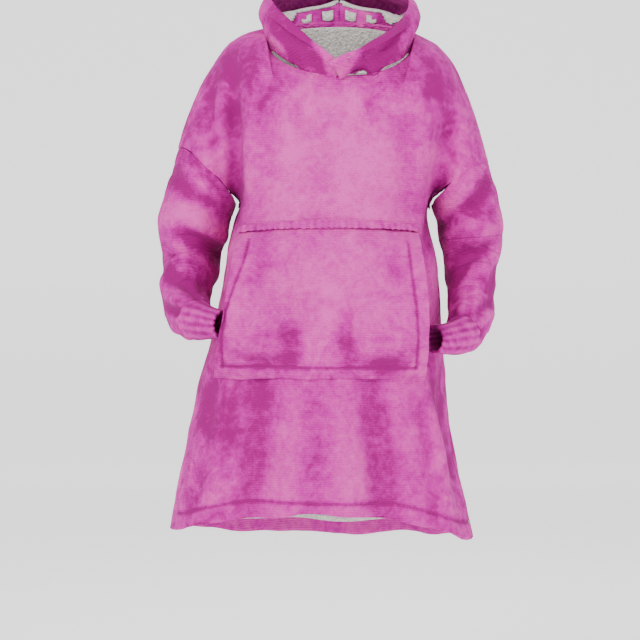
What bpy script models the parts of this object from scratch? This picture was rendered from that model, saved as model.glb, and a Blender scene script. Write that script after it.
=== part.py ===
"""Wearable blanket hoodie, worn on a general figure with the hands' pocket filled out and the hood down.

Metres, +Z up, the front faces -Y and the viewer's left is -X.
The origin is the base of the neck, where the garment rests on its wearer.
Each cut piece is a thin closed wall: a grid of outer points and the same grid moved in by the cloth.
"""
import math

import bmesh
import bpy
from mathutils import Vector
from mathutils.bvhtree import BVHTree

# Driving dimensions of the cloth
FLEECE = 0.003
SHERPA = 0.0045
HOOD_FLEECE = 0.0025
HOOD_SHERPA = 0.0022
HEM_PUFF = 0.0045
HEM_DEPTH = 0.020
SEAM_GAP = 0.0003
RING_GAP = 0.0006
CORNER_SHARE = 0.12
CORNER_REACH = 0.080
LINING_FIRST_ROW = 18
UNDERARM_SMOOTHING = 5

# Neck opening
NECK_SHIFT = 0.008
NECK_HALF_WIDTH = 0.127
NECK_FRONT_Y = 0.118
NECK_BACK_Y = 0.088
NECK_SIDE_Z = {-1: 0.003, 1: -0.005}
NECK_FRONT_Z = -0.093
NECK_BACK_Z = 0.028
NECK_COLUMNS = 5
NECK_SHARE = NECK_COLUMNS / 12

# Shoulder seam and upper arm, from the neck to the top of the dropped armhole:
# left x, left z, right x, right z
SHOULDER_ROWS = [
    (-0.119, 0.003, 0.135, -0.005),
    (-0.153, -0.005, 0.160, -0.018),
    (-0.183, -0.024, 0.182, -0.031),
    (-0.207, -0.060, 0.204, -0.063),
    (-0.231, -0.105, 0.224, -0.107),
    (-0.256, -0.158, 0.242, -0.162),
    (-0.2662, -0.2006, 0.2611, -0.226),
]

# Body sections under the arm: height at the middle of the front, at the left seam, at the right
# seam and at the middle of the back, then left seam x, right seam x, squareness
BODY_ROWS = [
    ("underarm", -0.300, -0.300, -0.300, -0.300, -0.168, 0.165, 2.6),
    ("pocket_top", -0.340, -0.352, -0.352, -0.352, -0.178, 0.168, 2.8),
    ("elbow", -0.430, -0.435, -0.435, -0.435, -0.191, 0.175, 3.0),
    ("waist", -0.510, -0.512, -0.512, -0.512, -0.206, 0.181, 3.0),
    ("pocket_bottom", -0.588, -0.590, -0.592, -0.592, -0.229, 0.188, 2.8),
    ("thigh", -0.690, -0.702, -0.706, -0.712, -0.250, 0.202, 2.5),
    ("hem", -0.806, -0.846, -0.862, -0.874, -0.281, 0.235, 2.3),
]
ROWS_BETWEEN = [2, 3, 3, 3, 4, 5]
ARM_ROWS = 10

# Depth of the front and of the back from the middle plane, by height
DEPTH_ROWS = [
    (0.03, 0.105, 0.095),
    (-0.09, 0.128, 0.122),
    (-0.20, 0.143, 0.136),
    (-0.30, 0.153, 0.138),
    (-0.40, 0.158, 0.134),
    (-0.52, 0.158, 0.138),
    (-0.60, 0.160, 0.148),
    (-0.70, 0.167, 0.162),
    (-0.88, 0.184, 0.190),
]
CHEST_FLARE = 0.36
ARMHOLE_FRONT = 0.085
ARMHOLE_RISE = 0.012
SHOULDER_ROUND = 0.5

# Folds that hang in the body: face, top x, top z, bottom x, bottom z, height of the ridge
# (below zero for a trough), half width, how much of it is left at its bottom end
BODY_FOLDS = [
    ("front", -0.176, -0.040, -0.171, -0.290, -0.024, 0.015, 0.5),
    ("front", -0.205, -0.080, -0.212, -0.240, -0.010, 0.011, 0.3),
    ("front", 0.198, -0.120, 0.172, -0.290, -0.020, 0.015, 0.5),
    ("front", 0.150, -0.080, 0.150, -0.300, 0.006, 0.020, 0.6),
    ("front", -0.140, -0.060, -0.145, -0.320, 0.006, 0.018, 0.6),
    ("front", -0.095, -0.600, -0.125, -0.860, -0.018, 0.024, 1.0),
    ("front", 0.070, -0.600, 0.085, -0.860, -0.015, 0.022, 1.0),
    ("front", 0.000, -0.620, -0.015, -0.860, 0.010, 0.045, 1.0),
    ("front", -0.190, -0.600, -0.215, -0.860, 0.010, 0.030, 1.0),
    ("front", 0.150, -0.560, 0.182, -0.860, 0.010, 0.022, 1.0),
    ("front", 0.172, -0.470, 0.210, -0.800, -0.016, 0.010, 0.7),
    ("back", -0.150, -0.260, -0.190, -0.900, -0.024, 0.030, 1.0),
    ("back", -0.060, -0.340, -0.070, -0.900, 0.016, 0.034, 1.0),
    ("back", 0.020, -0.380, 0.030, -0.900, -0.020, 0.028, 1.0),
    ("back", 0.095, -0.320, 0.120, -0.900, 0.016, 0.032, 1.0),
    ("back", 0.145, -0.300, 0.185, -0.900, -0.020, 0.022, 1.0),
    ("back", -0.172, -0.060, -0.164, -0.290, -0.018, 0.017, 0.5),
    ("back", 0.172, -0.080, 0.162, -0.290, -0.018, 0.017, 0.5),
]

# Sleeve sections after the armhole: centre x, y, z, half width across, half width front to back
SLEEVE_ROWS = {
    -1: [
        (-0.233, 0.004, -0.300, 0.062, 0.088),
        (-0.242, 0.010, -0.350, 0.058, 0.090),
        (-0.246, 0.008, -0.400, 0.052, 0.084),
        (-0.250, -0.012, -0.440, 0.045, 0.070),
        (-0.249, -0.050, -0.468, 0.041, 0.054),
        (-0.242, -0.088, -0.484, 0.036, 0.042),
        (-0.229, -0.118, -0.492, 0.031, 0.034),
    ],
    1: [
        (0.227, 0.004, -0.312, 0.057, 0.088),
        (0.231, 0.010, -0.352, 0.053, 0.090),
        (0.233, 0.008, -0.392, 0.050, 0.084),
        (0.231, -0.012, -0.434, 0.045, 0.070),
        (0.226, -0.048, -0.474, 0.041, 0.054),
        (0.219, -0.085, -0.502, 0.036, 0.042),
        (0.208, -0.116, -0.516, 0.031, 0.033),
    ],
}
CUFF_END = {-1: (-0.182, -0.168, -0.500), 1: (0.158, -0.170, -0.524)}
CUFF_HALF = (0.027, 0.023)
CUFF_BEND = 0.028
CUFF_RINGS = 5
SLEEVE_CLEARANCE = 0.006
SLEEVE_DROP = 0.009
SLEEVE_RINGS = 13
RING_POINTS = 2 * ARM_ROWS

# Sleeve folds: place along the sleeve from 0 to 1, angle round it in degrees (0 outside, 90
# front, 180 inside, 270 back), half length along, half width in degrees, slant in degrees for
# each unit of length, height
SLEEVE_FOLDS = {
    -1: [
        (0.14, 40, 0.07, 70, 200, -0.009),
        (0.30, 95, 0.08, 46, 150, 0.008),
        (0.47, 80, 0.07, 60, -260, -0.016),
        (0.62, 70, 0.07, 50, 120, 0.008),
        (0.74, 100, 0.05, 70, 60, -0.008),
        (0.40, 270, 0.08, 60, 160, -0.012),
        (0.60, 250, 0.07, 60, -160, -0.010),
        (0.22, 320, 0.07, 50, 100, 0.007),
    ],
    1: [
        (0.12, 60, 0.06, 80, -180, -0.013),
        (0.28, 80, 0.09, 60, -120, 0.009),
        (0.46, 60, 0.07, 60, 220, -0.010),
        (0.60, 90, 0.07, 50, 120, 0.008),
        (0.75, 100, 0.05, 70, 60, -0.008),
        (0.42, 270, 0.08, 60, -160, -0.012),
        (0.62, 255, 0.07, 60, 150, -0.010),
        (0.20, 300, 0.07, 50, -100, 0.007),
    ],
}

# Pocket, on the front panel's own rows and columns
FRONT_COLUMNS = 12
BACK_COLUMNS = 12
POCKET_LEFT_COLUMN = -8
POCKET_RIGHT_COLUMN = 7
POCKET_EDGE_GAPE = {-1: 0.092, 1: 0.098}
POCKET_MIDDLE_GAPE = 0.020
HAND_BULGES = [(-0.55, 0.62, 0.028), (0.62, 0.60, 0.022)]
BAND_WIDTH = 0.014
BAND_THICKNESS = 0.0055

# Hood, from the neck seam to the rim: share of the way to the rim, then how far the cloth
# stands out and up at the front, at the side and at the back
HOOD_ROWS = [
    ("seam", 0.00, 0.000, 0.000, 0.000, 0.000, 0.000, 0.000),
    ("stand", 0.10, 0.003, 0.003, 0.003, 0.003, 0.006, 0.020),
    ("roll", 0.20, 0.006, 0.004, 0.007, 0.004, 0.024, 0.026),
    ("inner_top", 0.28, 0.008, 0.004, 0.010, 0.003, 0.042, -0.004),
    ("inner_middle", 0.36, 0.009, 0.004, 0.012, 0.002, 0.060, -0.080),
    ("inner_low", 0.43, 0.010, 0.004, 0.0135, 0.001, 0.070, -0.165),
    ("bag_back", 0.49, 0.010, 0.003, 0.0145, 0.000, 0.084, -0.245),
    ("bag_bottom", 0.55, 0.010, 0.003, 0.015, 0.000, 0.106, -0.266),
    ("bag_front", 0.61, 0.010, 0.003, 0.0145, 0.000, 0.126, -0.242),
    ("outer_low", 0.68, 0.010, 0.003, 0.0135, 0.000, 0.128, -0.165),
    ("outer_middle", 0.76, 0.010, 0.003, 0.012, 0.001, 0.112, -0.085),
    ("outer_top", 0.84, 0.009, 0.003, 0.010, 0.002, 0.078, -0.022),
    ("rim_outer", 0.92, 0.006, 0.002, 0.006, 0.001, 0.034, 0.000),
    ("rim_edge", 1.00, 0.000, 0.000, 0.000, 0.000, 0.000, 0.000),
]
RIM_HALF_WIDTH = 0.121
RIM_FRONT_Y = 0.135
RIM_BACK_Y = 0.116
RIM_FRONT_Z = -0.070
RIM_SIDE_Z = 0.034
RIM_SIDE_LIFT = 0.018
RIM_BACK_Z = 0.088
RIM_PUFF = 0.004
HOOD_COLUMNS = 20
HOOD_LAP = 7.0
LAP_STEP = 0.007
HOOD_SMOOTHING = 2
HOOD_SEAT = 0.0012
HOOD_ROOM_BEHIND = (0.0, 0.005, 0.009, 0.009, 0.009, 0.009, 0.013, 0.018, 0.023)
HOOD_ROOM_ABOVE = (0.0, 0.010, 0.012, 0.013, 0.014, 0.016, 0.018, 0.020, 0.022)
HOOD_CROWDING = 0.009

COLOURS = {
    "fleece": (0.62, 0.16, 0.42, 1.0),
    "sherpa": (0.78, 0.75, 0.70, 1.0),
}


def clamp(value, low=0.0, high=1.0):
    return max(low, min(high, value))


def ease(value):
    value = clamp(value)
    return value * value * (3 - 2 * value)


def mix(a, b, share):
    return a + (b - a) * share


def through(values, place):
    """Smooth curve through evenly spaced values, place runs from 0 to 1."""
    last = len(values) - 1
    place = clamp(place) * last
    k = min(int(place), last - 1)
    t = place - k
    before = values[max(k - 1, 0)]
    here = values[k]
    there = values[k + 1]
    after = values[min(k + 2, last)]
    start = (there - before) * 0.5
    end = (after - here) * 0.5
    return (here * (2 * t ** 3 - 3 * t ** 2 + 1) + start * (t ** 3 - 2 * t ** 2 + t)
            + there * (3 * t ** 2 - 2 * t ** 3) + end * (t ** 3 - t ** 2))


def depth_at(z, face):
    """Half depth of the body at a height, read between the depth rows."""
    column = 1 if face == "front" else 2
    for upper, lower in zip(DEPTH_ROWS, DEPTH_ROWS[1:]):
        if z >= lower[0]:
            share = clamp((upper[0] - z) / (upper[0] - lower[0]))
            return mix(upper[column], lower[column], share)
    return DEPTH_ROWS[-1][column]


def neck_point(side, turn):
    """Neck seam, turn 0 at the middle of the front and 180 degrees at the middle of the back."""
    angle = math.radians(turn)
    x = NECK_SHIFT + side * NECK_HALF_WIDTH * math.sin(angle)
    across = abs(math.cos(angle))
    if turn <= 90:
        y = -NECK_FRONT_Y * across ** 0.7
        z = mix(NECK_SIDE_Z[side], NECK_FRONT_Z, across ** 0.72)
    else:
        y = NECK_BACK_Y * across ** 0.8
        z = mix(NECK_SIDE_Z[side], NECK_BACK_Z, across ** 1.2)
    return Vector((x, y, z))


def armhole_frame(side):
    """Middle of the armhole, its direction outward along the seam's top, and its half height."""
    top_x, top_z = (SHOULDER_ROWS[-1][0:2] if side < 0 else SHOULDER_ROWS[-1][2:4])
    low_x = BODY_ROWS[0][5] if side < 0 else BODY_ROWS[0][6]
    low_z = BODY_ROWS[0][2]
    top = Vector((top_x, 0, top_z))
    low = Vector((low_x, 0, low_z))
    outward = (top - low).normalized()
    return (top + low) / 2, outward, (top - low).length / 2


def armhole_point(side, turn, face, lean):
    """Point and outward normal of the armhole seam, turn 0 at its top and 180 degrees under.

    In the underarm corner the normal leans to the body's side for the panels, lean 1, and to the
    arm's side for the sleeve, lean -1.
    """
    centre, outward, half = armhole_frame(side)
    angle = math.radians(turn)
    away = -1 if face == "front" else 1
    rise = Vector((-side * outward.z, 0, abs(outward.x)))
    point = centre + outward * (half * math.cos(angle))
    point += Vector((0, away * ARMHOLE_FRONT * math.sin(angle), 0))
    point += rise * (ARMHOLE_RISE * math.sin(angle))
    normal = outward * math.cos(angle) + Vector((0, away * math.sin(angle), 0))
    crotch = ease((turn - 125) / 55)
    normal = normal * (1 - crotch) + Vector((0.7 * side * lean, 0, -0.7)) * crotch
    return point, normal.normalized()


def shoulder_point(side, share):
    column = 0 if side < 0 else 2
    x = through([row[column] for row in SHOULDER_ROWS], share)
    z = through([row[column + 1] for row in SHOULDER_ROWS], share)
    return Vector((x, 0, z))


def body_row(place):
    """One section of the body under the arm, place counts the rows of the table."""
    share = place / (len(BODY_ROWS) - 1)
    return [through([row[k] for row in BODY_ROWS], share) for k in range(1, 8)]


def lower_point(side, a, place, face):
    front_z, left_z, right_z, back_z, left_x, right_x, square = body_row(place)
    edge_x = left_x if side < 0 else right_x
    edge_z = left_z if side < 0 else right_z
    middle_x = (left_x + right_x) / 2
    middle_z = front_z if face == "front" else back_z
    across = math.sin(math.pi / 2 * a)
    x = mix(middle_x, edge_x, across)
    z = mix(middle_z, edge_z, across ** 2)
    depth = depth_at(z, face) * max(0.0, 1 - across ** square) ** (1 / square)
    return Vector((x, -depth if face == "front" else depth, z))


def chest_depth(side, x, z, face):
    """Body and upper arm under one cloth: the deeper of the two, with a soft join."""
    square = BODY_ROWS[0][7]
    low_x = BODY_ROWS[0][5] if side < 0 else BODY_ROWS[0][6]
    middle_x = (BODY_ROWS[0][5] + BODY_ROWS[0][6]) / 2
    wide = abs(low_x - middle_x) + (z - BODY_ROWS[0][1]) * CHEST_FLARE
    across = clamp(abs(x - middle_x) / wide)
    body = depth_at(z, face) * max(0.0, 1 - across ** square) ** (1 / square)
    centre, outward, half = armhole_frame(side)
    shoulder = Vector((side * 0.178, 0, -0.085))
    here = Vector((x, 0, z))
    axis = centre - shoulder
    along = clamp((here - shoulder).dot(axis) / axis.length_squared)
    apart = (here - shoulder - axis * along).length / half
    arm = ARMHOLE_FRONT * math.sqrt(max(0.0, 1 - apart ** 2))
    soft = 0.03
    near = max(soft - abs(body - arm), 0.0) / soft
    return max(body, arm) + near * near * soft / 4 * (1 if arm > 0 else 0)


def upper_point(side, a, k, face):
    """Body above the underarm: a runs from the middle to the armhole, k counts the arm rows."""
    b = k / ARM_ROWS
    down = b ** 1.5
    turned = 90 * a / NECK_SHARE
    if a < NECK_SHARE:
        top = neck_point(side, turned if face == "front" else 180 - turned)
    else:
        top = shoulder_point(side, (a - NECK_SHARE) / (1 - NECK_SHARE))
    bottom = lower_point(side, a, 0, face)
    if k == ARM_ROWS:
        return bottom
    if k == 0:
        return top
    top_middle = neck_point(side, 0 if face == "front" else 180)
    bottom_middle = lower_point(side, 0, 0, face)
    middle = top_middle.lerp(bottom_middle, down)
    corner_top = shoulder_point(side, 1)
    corner_low = lower_point(side, 1, 0, face)
    edge, _ = armhole_point(side, 180 * b, face, 1)
    flat = top.lerp(bottom, down) + middle * (1 - a) + edge * a
    flat -= top_middle.lerp(bottom_middle, down) * (1 - a) + corner_top.lerp(corner_low, down) * a
    cap = math.sin(math.pi / 2 * min(1.0, b / SHOULDER_ROUND))
    depth = mix(abs(top.y), chest_depth(side, flat.x, flat.z, face), cap)
    meet = ease((a - 0.72) / 0.28)
    depth = mix(depth, abs(edge.y), meet)
    return Vector((flat.x, -depth if face == "front" else depth, flat.z))


def row_places():
    """Places of the lower rows after the underarm, in rows of the body table."""
    places = []
    for k, count in enumerate(ROWS_BETWEEN):
        places += [k + (n + 1) / count for n in range(count)]
    return places


def fold_height(face, x, z):
    height = 0.0
    for fold_face, x0, z0, x1, z1, tall, wide, left in BODY_FOLDS:
        if fold_face != face:
            continue
        along = clamp((z0 - z) / (z0 - z1))
        apart = (x - mix(x0, x1, along)) / wide
        strength = ease(along / 0.45) * mix(1.0, left, ease((along - 0.6) / 0.4))
        if z < z1:
            strength *= 1 - ease((z1 - z) / 0.05)
        height += tall * strength * math.exp(-apart * apart)
    return height


def grid_normals(grid, closed=False):
    """Unit normals of a grid of points, rows by columns, right handed."""
    rows = len(grid)
    columns = len(grid[0])
    normals = []
    for r in range(rows):
        line = []
        for c in range(columns):
            up = grid[max(r - 1, 0)][c]
            low = grid[min(r + 1, rows - 1)][c]
            if closed:
                before = grid[r][(c - 1) % columns]
                after = grid[r][(c + 1) % columns]
            else:
                before = grid[r][max(c - 1, 0)]
                after = grid[r][min(c + 1, columns - 1)]
            normal = (low - up).cross(after - before)
            line.append(normal.normalized() if normal.length > 1e-9 else Vector((0, 0, 1)))
        normals.append(line)
    return normals


def corner_thin(point, least=CORNER_SHARE, reach=CORNER_REACH):
    """Share of the full thickness that fits into the narrow corner under each arm."""
    share = 1.0
    for side in (-1, 1):
        low = lower_point(side, 1, 0, "front")
        share = min(share, mix(least, 1.0, ease((point - low).length / reach)))
    return share


def side_edge(side, z):
    """Distance of the body's side seam from the middle plane of the figure, at a height."""
    column = 5 if side < 0 else 6
    rows = [(row[2 if side < 0 else 3], abs(row[column])) for row in BODY_ROWS]
    for upper, lower in zip(rows, rows[1:]):
        if z >= lower[0]:
            return mix(upper[1], lower[1], clamp((upper[0] - z) / (upper[0] - lower[0])))
    return rows[-1][1]


def panel(face, half_columns):
    """Outer points and outward normals of the front or back panel."""
    away = -1 if face == "front" else 1
    columns = [c / half_columns for c in range(-half_columns, half_columns + 1)]
    grid = []
    for k in range(ARM_ROWS + 1):
        grid.append([upper_point(-1 if c < 0 else 1, abs(c), k, face) for c in columns])
    for place in row_places():
        grid.append([lower_point(-1 if c < 0 else 1, abs(c), place, face) for c in columns])
    turn = 1 if face == "front" else -1
    normals = [[n * turn for n in line] for line in grid_normals(grid)]
    for r, line in enumerate(grid):
        for c, share in enumerate(columns):
            fade = ease((1 - abs(share)) / 0.2) * ease((r - 1) / 4)
            fade *= corner_thin(line[c], 0.0, CORNER_REACH)
            line[c] = line[c] + normals[r][c] * (fade * fold_height(face, line[c].x, line[c].z))
    for _ in range(UNDERARM_SMOOTHING):
        before = [[p.copy() for p in line] for line in grid]
        for r in range(ARM_ROWS - 4, ARM_ROWS + 3):
            for c in (1, 2, 3, -4, -3, -2):
                beside = before[r][c - 1] + before[r][c + 1]
                above = before[r - 1][c] + before[r + 1][c]
                grid[r][c] = before[r][c] * 0.4 + beside * 0.15 + above * 0.15
    normals = [[n * turn for n in line] for line in grid_normals(grid)]
    for r, line in enumerate(grid):
        for c, share in enumerate(columns):
            on_seam = abs(share) == 1 or (r == 0 and abs(share) >= NECK_SHARE)
            if not on_seam:
                continue
            side = -1 if share < 0 else 1
            normal = normals[r][c]
            if abs(share) == 1 and r in (0, ARM_ROWS):
                _, normal = armhole_point(side, 180 * r / ARM_ROWS, face, 1)
            elif abs(share) == 1 and r == ARM_ROWS - 1:
                normal = normals[r][c - side]
            elif abs(share) == 1 and r < ARM_ROWS:
                _, outward, _ = armhole_frame(side)
                axis = Vector((side * outward.z, 0, -abs(outward.x)))
                normal = normal - axis * min(0.0, normal.dot(axis))
            elif abs(share) == 1:
                normal = Vector((side, 0, 0.1))
            else:
                normal = Vector((normal.x, 0, max(abs(normal.z), 0.2)))
            normals[r][c] = normal.normalized()
            if abs(line[c].y) < SEAM_GAP:
                line[c].y = away * SEAM_GAP / 2
    return grid, normals


def moved(grid, normals, distance):
    """The grid moved along its normals, distance is a number or a function of row and column."""
    result = []
    for r, line in enumerate(grid):
        shift = distance if callable(distance) else (lambda row, column: distance)
        result.append([p + normals[r][c] * shift(r, c) for c, p in enumerate(line)])
    return result


def material(name):
    made = bpy.data.materials.get(name)
    if made is None:
        made = bpy.data.materials.new(name)
        made.use_nodes = True
        shader = made.node_tree.nodes["Principled BSDF"]
        shader.inputs["Base Color"].default_value = COLOURS[name]
        shader.inputs["Roughness"].default_value = 0.9
        shader.inputs["Metallic"].default_value = 0.0
    return made


def wall(name, outer, inner, finish, closed=False, mirrored=False):
    """One closed body between two grids of points, open or closed round its columns."""
    work = bmesh.new()
    skins = [[[work.verts.new(p) for p in line] for line in grid] for grid in (outer, inner)]
    rows = len(outer)
    columns = len(outer[0])
    steps = columns if closed else columns - 1
    for r in range(rows - 1):
        for c in range(steps):
            d = (c + 1) % columns
            for skin in skins:
                if mirrored and c >= steps / 2:
                    work.faces.new((skin[r][c], skin[r][d], skin[r + 1][c]))
                    work.faces.new((skin[r][d], skin[r + 1][d], skin[r + 1][c]))
                else:
                    work.faces.new((skin[r][c], skin[r][d], skin[r + 1][d]))
                    work.faces.new((skin[r][c], skin[r + 1][d], skin[r + 1][c]))
    for r in (0, rows - 1):
        for c in range(steps):
            d = (c + 1) % columns
            work.faces.new((skins[0][r][c], skins[0][r][d], skins[1][r][d], skins[1][r][c]))
    if not closed:
        for c in (0, columns - 1):
            for r in range(rows - 1):
                work.faces.new((skins[0][r][c], skins[0][r + 1][c],
                                skins[1][r + 1][c], skins[1][r][c]))
    bmesh.ops.recalc_face_normals(work, faces=work.faces[:])
    mesh = bpy.data.meshes.new(name)
    work.to_mesh(mesh)
    work.free()
    mesh.shade_smooth()
    mesh.set_sharp_from_angle(angle=math.radians(55))
    mesh.materials.append(material(finish))
    piece = bpy.data.objects.new(name, mesh)
    bpy.context.collection.objects.link(piece)
    return piece


def hem_swell(grid, row, column):
    """Extra thickness of the turned hem near the panel's lower edge."""
    below = (grid[row][column] - grid[-1][column]).length
    return HEM_PUFF * (1 - ease((below / HEM_DEPTH - 0.2) / 0.8))


def make_body():
    """Front and back panels, and the sherpa linings that show inside the hem."""
    panels = {}
    for face, half_columns in (("front", FRONT_COLUMNS), ("back", BACK_COLUMNS)):
        grid, normals = panel(face, half_columns)
        panels[face] = (grid, normals)
        inner = moved(grid, normals, lambda r, c: (
            -FLEECE * corner_thin(grid[r][c]) - hem_swell(grid, r, c)))
        wall(face + "_panel", grid, inner, "fleece", mirrored=True)
        lined = grid[LINING_FIRST_ROW:-2]
        lined_normals = normals[LINING_FIRST_ROW:-2]
        near = moved(lined, lined_normals, -FLEECE - SEAM_GAP)
        far = moved(lined, lined_normals, -FLEECE - SEAM_GAP - SHERPA)
        wall(face + "_lining", near, far, "sherpa", mirrored=True)
    return panels


def along_path(points, count):
    """Even steps along a smooth curve through the points."""
    columns = list(zip(*points))
    fine = [Vector([through(column, k / 400) for column in columns]) for k in range(401)]
    places = [0.0]
    for a, b in zip(fine, fine[1:]):
        places.append(places[-1] + (b.xyz - a.xyz).length)
    result = []
    for n in range(count):
        wanted = places[-1] * n / (count - 1)
        k = next((i for i, p in enumerate(places) if p >= wanted), 400)
        result.append(fine[k])
    return result


def make_sleeve(side):
    """Tube from the armhole to the gathered wrist, then the cuff that goes into the pocket."""
    name = "left" if side < 0 else "right"
    centre, outward, half = armhole_frame(side)
    start = (*centre, half, ARMHOLE_FRONT)
    rows = along_path([start] + SLEEVE_ROWS[side], SLEEVE_RINGS)
    across = outward.copy()
    grid = []
    frames = []
    for n, row in enumerate(rows):
        before = rows[max(n - 1, 0)]
        after = rows[min(n + 1, len(rows) - 1)]
        tangent = Vector(after[:3]) - Vector(before[:3])
        tangent.normalize()
        if n == 0:
            tangent = Vector((side * outward.z, 0, -abs(outward.x)))
        across = (across - tangent * across.dot(tangent)).normalized()
        forward = tangent.cross(across) * side
        frames.append((tangent, across, forward))
        line = []
        for k in range(RING_POINTS):
            turn = 360 * k / RING_POINTS
            angle = math.radians(turn)
            if n == 0:
                face = "front" if turn <= 180 else "back"
                point, _ = armhole_point(side, min(turn, 360 - turn), face, -1)
                line.append(point + tangent * RING_GAP)
                continue
            height = 0.0
            along = n / (len(rows) - 1)
            for place, at, long, wide, slant, tall in SLEEVE_FOLDS[side]:
                gap = (turn - at - slant * (along - place) + 180) % 360 - 180
                height += tall * math.exp(-((along - place) / long) ** 2 - (gap / wide) ** 2)
            height *= ease(n / 3) * ease((len(rows) - 1 - n) / 3)
            radial = across * math.cos(angle) * (row[3] + height)
            radial += forward * math.sin(angle) * (row[4] + height)
            point = Vector(row[:3]) + radial
            if n < 4:
                point.z = min(point.z, grid[n - 1][k].z - SLEEVE_DROP)
            drop = BODY_ROWS[0][1] - point.z
            room = SLEEVE_CLEARANCE * (0.4 + 0.6 * ease(drop / 0.04))
            nearest = side_edge(side, point.z) + room
            if abs(point.y) < 0.06 and abs(point.x) < nearest:
                point.x = side * nearest
            line.append(point)
        grid.append(line)
    normals = grid_normals(grid, closed=True)
    middle = sum(grid[6], Vector()) / RING_POINTS
    if normals[6][0].dot(grid[6][0] - middle) < 0:
        normals = [[-n for n in line] for line in normals]
    for k in range(RING_POINTS):
        turn = 360 * k / RING_POINTS
        face = "front" if turn <= 180 else "back"
        normals[0][k] = armhole_point(side, min(turn, 360 - turn), face, -1)[1]
    inner = moved(grid, normals, lambda r, c: -FLEECE * corner_thin(grid[r][c]))
    wall("sleeve_" + name, grid, inner, "fleece", closed=True)

    tangent, across, _ = frames[-1]
    wrist = Vector(rows[-1][:3]) + tangent * RING_GAP
    bend = wrist + tangent * CUFF_BEND
    end = Vector(CUFF_END[side])
    cuff = []
    for n in range(CUFF_RINGS):
        share = n / (CUFF_RINGS - 1)
        here = wrist.lerp(bend, share).lerp(bend.lerp(end, share), share)
        aim = ((bend - wrist) * (1 - share) + (end - bend) * share).normalized()
        across = (across - aim * across.dot(aim)).normalized()
        deep = aim.cross(across) * side
        size = [mix(rows[-1][3 + k], CUFF_HALF[k], ease(share)) for k in (0, 1)]
        line = []
        for k in range(RING_POINTS):
            angle = 2 * math.pi * k / RING_POINTS
            radial = across * math.cos(angle) * size[0] + deep * math.sin(angle) * size[1]
            line.append(here + radial)
        cuff.append(line)
    normals = grid_normals(cuff, closed=True)
    if normals[1][0].dot(cuff[1][0] - sum(cuff[1], Vector()) / RING_POINTS) < 0:
        normals = [[-n for n in line] for line in normals]
    wall("cuff_" + name, cuff, moved(cuff, normals, -FLEECE * 1.5), "fleece", closed=True)


def pocket_rows():
    """First and last row of the front panel that the pocket is sewn to."""
    first = ARM_ROWS + ROWS_BETWEEN[0]
    return first, first + sum(ROWS_BETWEEN[1:4])


def make_pocket(grid, normals):
    """Kangaroo pocket: the front panel's own points moved out, gaping where the hands go in."""
    top, bottom = pocket_rows()
    left = POCKET_LEFT_COLUMN + FRONT_COLUMNS
    right = POCKET_RIGHT_COLUMN + FRONT_COLUMNS
    gap = FLEECE + SEAM_GAP
    inner = []
    for r in range(top, bottom + 1):
        drop = (r - top) / (bottom - top)
        line = []
        for c in range(left, right + 1):
            share = mix(-1, 1, (c - left) / (right - left))
            edge = POCKET_EDGE_GAPE[-1 if share < 0 else 1]
            gape = mix(POCKET_MIDDLE_GAPE, edge, abs(share) ** 1.6)
            gape *= math.sin(math.pi * drop) ** 0.75 if 0 < drop < 1 else 0.0
            for at, low, tall in HAND_BULGES:
                bump = math.exp(-((share - at) / 0.34) ** 2 - ((drop - low) / 0.26) ** 2)
                gape += tall * bump * math.sin(math.pi * drop)
            lift = SEAM_GAP
            point = grid[r][c] + normals[r][c] * lift
            point += Vector((share * 0.08, -1, 0)).normalized() * gape
            line.append(point)
        inner.append(line)
    outward = grid_normals(inner)
    outward[0] = normals[top][left:right + 1]
    outward[-1] = normals[bottom][left:right + 1]
    outer = moved(inner, outward, FLEECE)
    wall("pocket", outer, inner, "fleece")

    band_inner = []
    band_outer = []
    lift = gap + SEAM_GAP
    for c in range(left, right + 1):
        normal = normals[top][c]
        base = grid[top][c]
        low = outer[1][c - left]
        down = (outer[0][c - left] - low).normalized()
        up = (grid[top - 1][c] - base).normalized()
        foot = outer[0][c - left] + normal * SEAM_GAP
        seat_low = foot - down * BAND_WIDTH * 0.35 + outward[1][c - left] * 0.0012
        seat_high = base + up * BAND_WIDTH * 0.65 + normal * (SEAM_GAP + 0.0016)
        band_inner.append([seat_high, foot + normal * 0.0008, seat_low])
        band_outer.append([seat_high + normal * BAND_THICKNESS * 0.6,
                           foot + normal * BAND_THICKNESS,
                           seat_low + normal * BAND_THICKNESS * 0.6])
    rows = [[list(line) for line in zip(*part)] for part in (band_outer, band_inner)]
    wall("pocket_band", rows[0], rows[1], "fleece")


def rim_point(side, turn):
    """Edge of the face opening, which lies round the neck with the hood down."""
    angle = math.radians(turn)
    x = NECK_SHIFT + side * RIM_HALF_WIDTH * math.sin(angle)
    across = abs(math.cos(angle))
    if turn <= 90:
        if side < 0:
            climb = math.sin(angle)
        else:
            climb = (math.sin(angle) + 1 - math.cos(angle)) / 2
        x -= NECK_SHIFT * across
        height = mix(RIM_FRONT_Z, RIM_SIDE_Z, climb) + RIM_SIDE_LIFT * climb ** 8
        return Vector((x, -RIM_FRONT_Y * across ** 0.8, height))
    height = mix(RIM_SIDE_Z + RIM_SIDE_LIFT, RIM_BACK_Z, across ** 1.4)
    return Vector((x, RIM_BACK_Y * across, height))


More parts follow.
